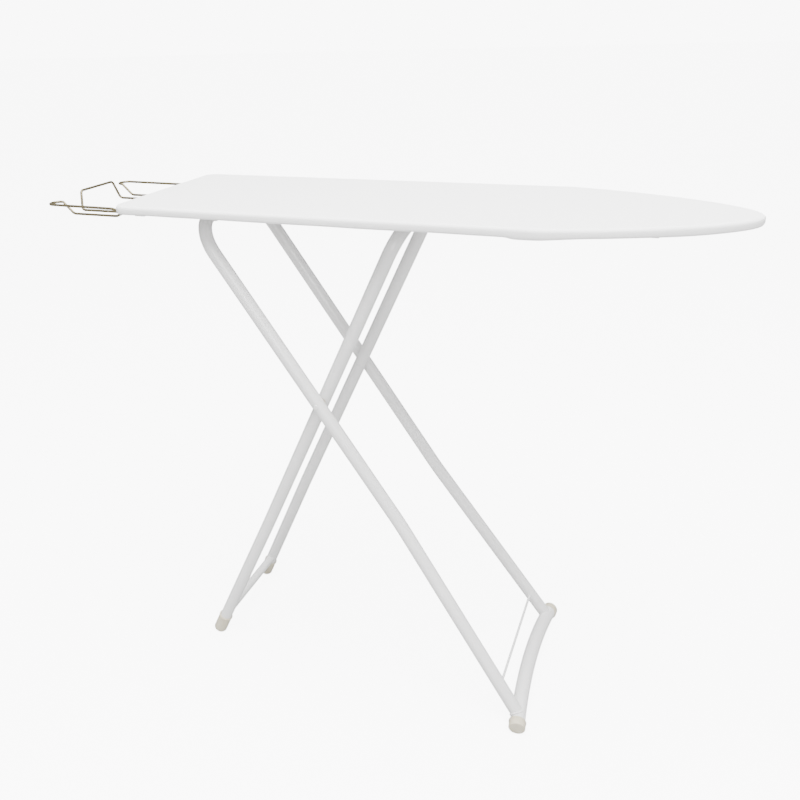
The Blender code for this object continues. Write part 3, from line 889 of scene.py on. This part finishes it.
@dataclass
class OuterLeg(Leg):
    """Outer frame with its arched foot bar and thin brace rod."""

    bar: float = 0.0125
    bar_half: float = 0.1595
    bar_rise: float = 0.016
    brace_at: float = 0.915
    brace: float = 0.0022

    def bar_point(self, y: float) -> Vector:
        """Point of the foot bar's line in the leg's plane."""
        return Vector((self.foot - self.bar_rise * (1 - (y / self.bar_half) ** 2), y, 0))

    def build(self) -> None:
        """Build the outer leg."""
        end = self.foot - self.bar_rise * 0.3
        tube = self.add(sweep(self.route(end), self.tube, 28), "outer_frame_tube", Slot.PAINT)
        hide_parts("outer_leg_frame")
        line = [self.plane @ self.bar_point(self.bar_half * (step / 24 - 1)) for step in range(49)]
        bar = self.add(sweep(line, self.bar, 28), "outer_foot_tube", Slot.PAINT)
        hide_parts("outer_foot_bar")
        self.build_welds()
        self.build_brace()
        self.build_caps(line)

    def build_welds(self) -> None:
        """Saddle-shaped beads where the legs meet the foot bar."""
        for side in Side:
            middle = side.value * self.half_foot
            seat = self.bar_point(middle).x
            ring = []
            for step in range(32):
                turn = math.tau * step / 32
                lift = self.tube * math.sin(turn)
                drop = math.sqrt(self.bar ** 2 - lift ** 2)
                across = middle + self.tube * math.cos(turn)
                ring.append(self.plane @ Vector((seat - drop, across, lift)))
            self.add(sweep(ring, self.weld, 8, closed=True), f"outer_foot_weld_{side.word}", Slot.PAINT)

    def build_brace(self) -> None:
        """Thin rod between the legs, just above the foot bar, with a bead at each end."""
        half = self.half_at(self.brace_at)
        route = [Vector((self.brace_at, -half + 0.006, 0)), Vector((self.brace_at, half - 0.006, 0))]
        route = [self.plane @ point for point in divided(route, 0.03)]
        rod = self.add(sweep(route, self.brace, 14), "outer_brace", Slot.PAINT)
        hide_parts("outer_brace_rod")
        for side in Side:
            seat = self.plane @ Vector((self.brace_at, side.value * (half - self.tube - 0.0006), 0))
            tilt = Matrix.Translation(seat) @ Matrix.Rotation(math.pi / 2, 4, "X")
            bead = lathe([(0, -0.0022), (0.0026, -0.0016), (0.0036, 0.0), (0.0026, 0.0016), (0, 0.0022)],
                         tilt, 18)
            self.add(bead, f"outer_brace_weld_{side.word}", Slot.PAINT)

    def build_caps(self, line: Route) -> None:
        """Caps on the foot bar's two ends."""
        cap = FootCap(inner=self.bar + 0.0003, wall=0.0012, depth=0.012, base=0.0022)
        ends = {Side.NEAR: (line[0], line[2]), Side.FAR: (line[-1], line[-3])}
        for side, (end, above) in ends.items():
            piece = self.add(cap.make(cap_place(end, above)), f"outer_cap_{side.word}", Slot.PLASTIC)
            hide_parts(f"outer_foot_cap_{side.word}")


@dataclass
class InnerLeg(Leg):
    """Inner frame with its cross tube, cups and pivot rivets."""

    cross_at: float = 0.850
    cross: float = 0.0080
    rivet: float = 0.003
    outer_half: float = 0.1040
    pivot_at: float = 0.3200

    def build(self) -> None:
        """Build the inner leg."""
        end = self.foot - 0.008
        route = self.route(end)
        tube = self.add(sweep(route, self.tube, 28), "inner_frame_tube", Slot.PAINT)
        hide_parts("inner_leg_frame")
        self.tube_between(self.cross_at, self.cross, "inner_cross", "inner_cross_tube")
        cap = FootCap(inner=self.tube + 0.0003, wall=0.0012, depth=0.018, base=0.020)
        ends = {Side.NEAR: (route[0], route[1]), Side.FAR: (route[-1], route[-2])}
        for side, (foot, above) in ends.items():
            piece = self.add(cap.make(cap_place(foot, above)), f"inner_cap_{side.word}", Slot.PLASTIC)
            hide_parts(f"inner_foot_cap_{side.word}")
        self.build_rivets()

    def build_rivets(self) -> None:
        """Low-headed rivets through both legs."""
        centre = self.plane @ Vector((self.pivot_at, 0, 0))
        outside = self.outer_half + self.tube + 0.0001
        inside = self.half_top - self.tube - 0.0001
        head, tail_head, crown = 0.0046, 0.0045, 0.0012
        dome = [math.pi / 2 * step / 6 for step in range(6)]
        for side in Side:
            rows = [(0.0, inside - 0.0010), (0.0030, inside - 0.0008), (tail_head, inside - 0.0002)]
            rows += [(tail_head, inside + 0.0006), (self.rivet, inside + 0.0008)]
            rows += [(self.rivet, outside - 0.0008), (head, outside - 0.0006)]
            rows += [(head * math.cos(a), outside + crown * math.sin(a)) for a in dome]
            rows += [(0.0, outside + crown)]
            place = Matrix.Translation(centre) @ Matrix.Rotation(-side.value * math.pi / 2, 4, "X")
            piece = self.add(lathe(rows, place, 28), f"rivet_{side.word}", Slot.PAINT)
            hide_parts(f"pivot_rivet_{side.word}")


# ---------------------------------------------------------------- iron rest
@dataclass
class IronRest:
    """One bent wire that carries the iron beyond the board's tail."""

    palette: Palette
    tail: float
    wire: float = 0.0022
    arm_y: float = 0.109
    return_y: float = 0.0835
    valley_y: float = 0.0545
    bar_y: float = 0.044
    under_z: float = 0.8265
    arm_z: float = 0.8325
    low_z: float = 0.8133
    bar_z: float = 0.8446

    def half_turn(self, x: float, start: float, end: float, z: float, way: int) -> Route:
        """Half circle in plan between two runs along the board."""
        radius = (start - end) / 2
        middle = (start + end) / 2
        turns = [math.pi * step / 14 for step in range(15)]
        return [Vector((x + way * radius * math.sin(t), middle + radius * math.cos(t), z)) for t in turns]

    def half_route(self) -> Route:
        """Half of the wire, from its fixed end to the middle of its raised bar."""
        tail = self.tail
        bar_x = tail - 0.1415
        arm = [(tail + 0.052, self.arm_y, self.under_z), (tail - 0.004, self.arm_y, self.under_z),
               (tail - 0.030, self.arm_y, self.arm_z - 0.001), (tail - 0.150, self.arm_y, self.arm_z)]
        loop = self.half_turn(tail - 0.150, self.arm_y, self.return_y, self.arm_z, -1)
        low = [(tail - 0.130, self.return_y, self.low_z), (tail - 0.042, self.return_y, self.low_z),
               (tail - 0.010, self.return_y, self.under_z), (tail + 0.040, self.return_y, self.under_z)]
        back = self.half_turn(tail + 0.040, self.return_y, self.valley_y, self.under_z, 1)
        valley = [(tail - 0.010, self.valley_y, self.under_z), (tail - 0.042, self.valley_y, self.low_z),
                  (bar_x + 0.006, self.valley_y, self.low_z), (bar_x, self.bar_y, self.bar_z),
                  (bar_x, 0.0, self.bar_z)]
        dip = rounded([tuple(loop[-1])] + low, 0.012, 7)
        rise = rounded([tuple(back[-1])] + valley, 0.007, 7)
        return rounded(arm, 0.02, 5)[:-1] + loop + dip[1:-1] + back + rise[1:]

    def build(self) -> None:
        """Build the wire."""
        half = self.half_route()
        whole = half + [Vector((p.x, -p.y, p.z)) for p in reversed(half[:-1])]
        work = sweep(divided(whole, 0.012), self.wire, 16)
        piece = add_piece(work, "rest_wire", self.palette.of(Slot.WIRE), Body.BOARD)
        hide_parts("iron_rest_wire")


# ---------------------------------------------------------------- studio
@dataclass
class Studio:
    """Pale floor, soft light and the camera."""

    eye: Vector
    yaw: float = -23.095
    pitch: float = 22.607
    roll: float = -2.218
    lens: float = 37.624
    shift_x: float = 0.0660
    shift_y: float = -0.0400
    ambient: float = 1.6
    horizon: float = 0.30
    backdrop: float = 9.0
    floor_glow: float = 8.0

    def build(self) -> None:
        """Build the studio."""
        self.build_floor()
        self.build_lights()
        self.build_camera()

    def build_floor(self) -> None:
        """Wide plain floor, which the camera alone sees glow white."""
        work = bmesh.new()
        bmesh.ops.create_grid(work, x_segments=1, y_segments=1, size=30.0)
        bmesh.ops.translate(work, vec=(0, 0, -0.0005), verts=work.verts)
        data = bpy.data.meshes.new("floor")
        work.to_mesh(data)
        work.free()
        graph = Graph("floor_paper")
        graph.dress(Base_Color=(0.45, 0.45, 0.45), Roughness=0.95, Specular_IOR_Level=0.1)
        seen = graph.node("ShaderNodeLightPath", {}, {}, "Is Camera Ray")
        graph.dress(Emission_Color=graph.blend(seen, (0.0, 0.0, 0.0), (1.0, 1.0, 1.0)))
        graph.dress(Emission_Strength=self.floor_glow)
        data.materials.append(graph.material)
        floor = bpy.data.objects.new("floor", data)
        bpy.context.scene.collection.objects.link(floor)

    def build_lights(self) -> None:
        """Two soft boxes and a surround that is brighter overhead; the camera alone sees it white."""
        world = bpy.data.worlds.new("surround")
        world.use_nodes = True
        tree = world.node_tree
        path = tree.nodes.new("ShaderNodeLightPath")
        level = tree.nodes.new("ShaderNodeMix")
        level.inputs[3].default_value = self.backdrop
        tree.links.new(path.outputs["Is Camera Ray"], level.inputs[0])
        where = tree.nodes.new("ShaderNodeTexCoord")
        split = tree.nodes.new("ShaderNodeSeparateXYZ")
        sky = tree.nodes.new("ShaderNodeMapRange")
        sky.inputs["From Min"].default_value = -0.1
        sky.inputs["From Max"].default_value = 0.8
        sky.inputs["To Min"].default_value = self.horizon
        sky.inputs["To Max"].default_value = self.ambient
        tree.links.new(where.outputs["Generated"], split.inputs[0])
        tree.links.new(split.outputs["Z"], sky.inputs["Value"])
        tree.links.new(sky.outputs[0], level.inputs[2])
        tree.nodes["Background"].inputs["Color"].default_value = (1.0, 1.0, 1.0, 1.0)
        tree.links.new(level.outputs[0], tree.nodes["Background"].inputs["Strength"])
        bpy.context.scene.world = world
        self.softbox("overhead", (0.3, -0.5, 3.0), (0.0, 0.0, 0.5), 2.2, 330.0)
        self.softbox("front", (1.2, -3.0, 1.8), (0.0, 0.0, 0.5), 1.6, 75.0)

    def softbox(self, name: str, place: tuple, target: tuple, size: float, power: float) -> None:
        """Square soft light aimed at a point."""
        data = bpy.data.lights.new(name, "AREA")
        data.size = size
        data.energy = power
        lamp = bpy.data.objects.new(name, data)
        lamp.location = place
        lamp.rotation_euler = (Vector(target) - Vector(place)).to_track_quat("-Z", "Y").to_euler()
        bpy.context.scene.collection.objects.link(lamp)

    def build_camera(self) -> None:
        """Camera on the near side, a little above the top."""
        yaw, pitch, roll = (math.radians(value) for value in (self.yaw, self.pitch, self.roll))
        ahead = Vector((math.sin(yaw) * math.cos(pitch), math.cos(yaw) * math.cos(pitch), -math.sin(pitch)))
        right = Vector((math.cos(yaw), -math.sin(yaw), 0.0))
        up = right.cross(ahead)
        level = math.cos(roll) * right + math.sin(roll) * up
        upright = -math.sin(roll) * right + math.cos(roll) * up
        data = bpy.data.cameras.new("camera")
        data.lens = self.lens
        data.sensor_width = 36.0
        data.shift_x = self.shift_x
        data.shift_y = self.shift_y
        camera = bpy.data.objects.new("camera", data)
        turn = Matrix((level, upright, -ahead)).transposed().to_4x4()
        camera.matrix_world = Matrix.Translation(self.eye) @ turn
        bpy.context.scene.collection.objects.link(camera)
        bpy.context.scene.camera = camera


def main() -> None:
    """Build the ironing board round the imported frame."""
    logging.basicConfig(level=logging.INFO, format="%(message)s")
    palette = Palette()
    palette.dress_nodes()
    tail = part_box("cover")[0][0]
    ahead, aside, above = EYE_FROM_TAIL
    Studio(eye=Vector((tail + ahead, aside, above))).build()
    Top(palette).build()
    OuterLeg(palette, Body.OUTER, joint="fold", angle=math.radians(OUTER_SLOPE), half_top=0.1040,
             half_foot=0.1350, flare=0.596, foot=0.9776, bend=0.060).build()
    InnerLeg(palette, Body.INNER, joint="glide_turn", angle=math.pi - math.radians(INNER_SLOPE),
             half_top=0.0808, half_foot=0.0975, flare=0.611, foot=0.8860, bend=0.045).build()
    IronRest(palette, tail).build()


if __name__ == "__main__":
    main()
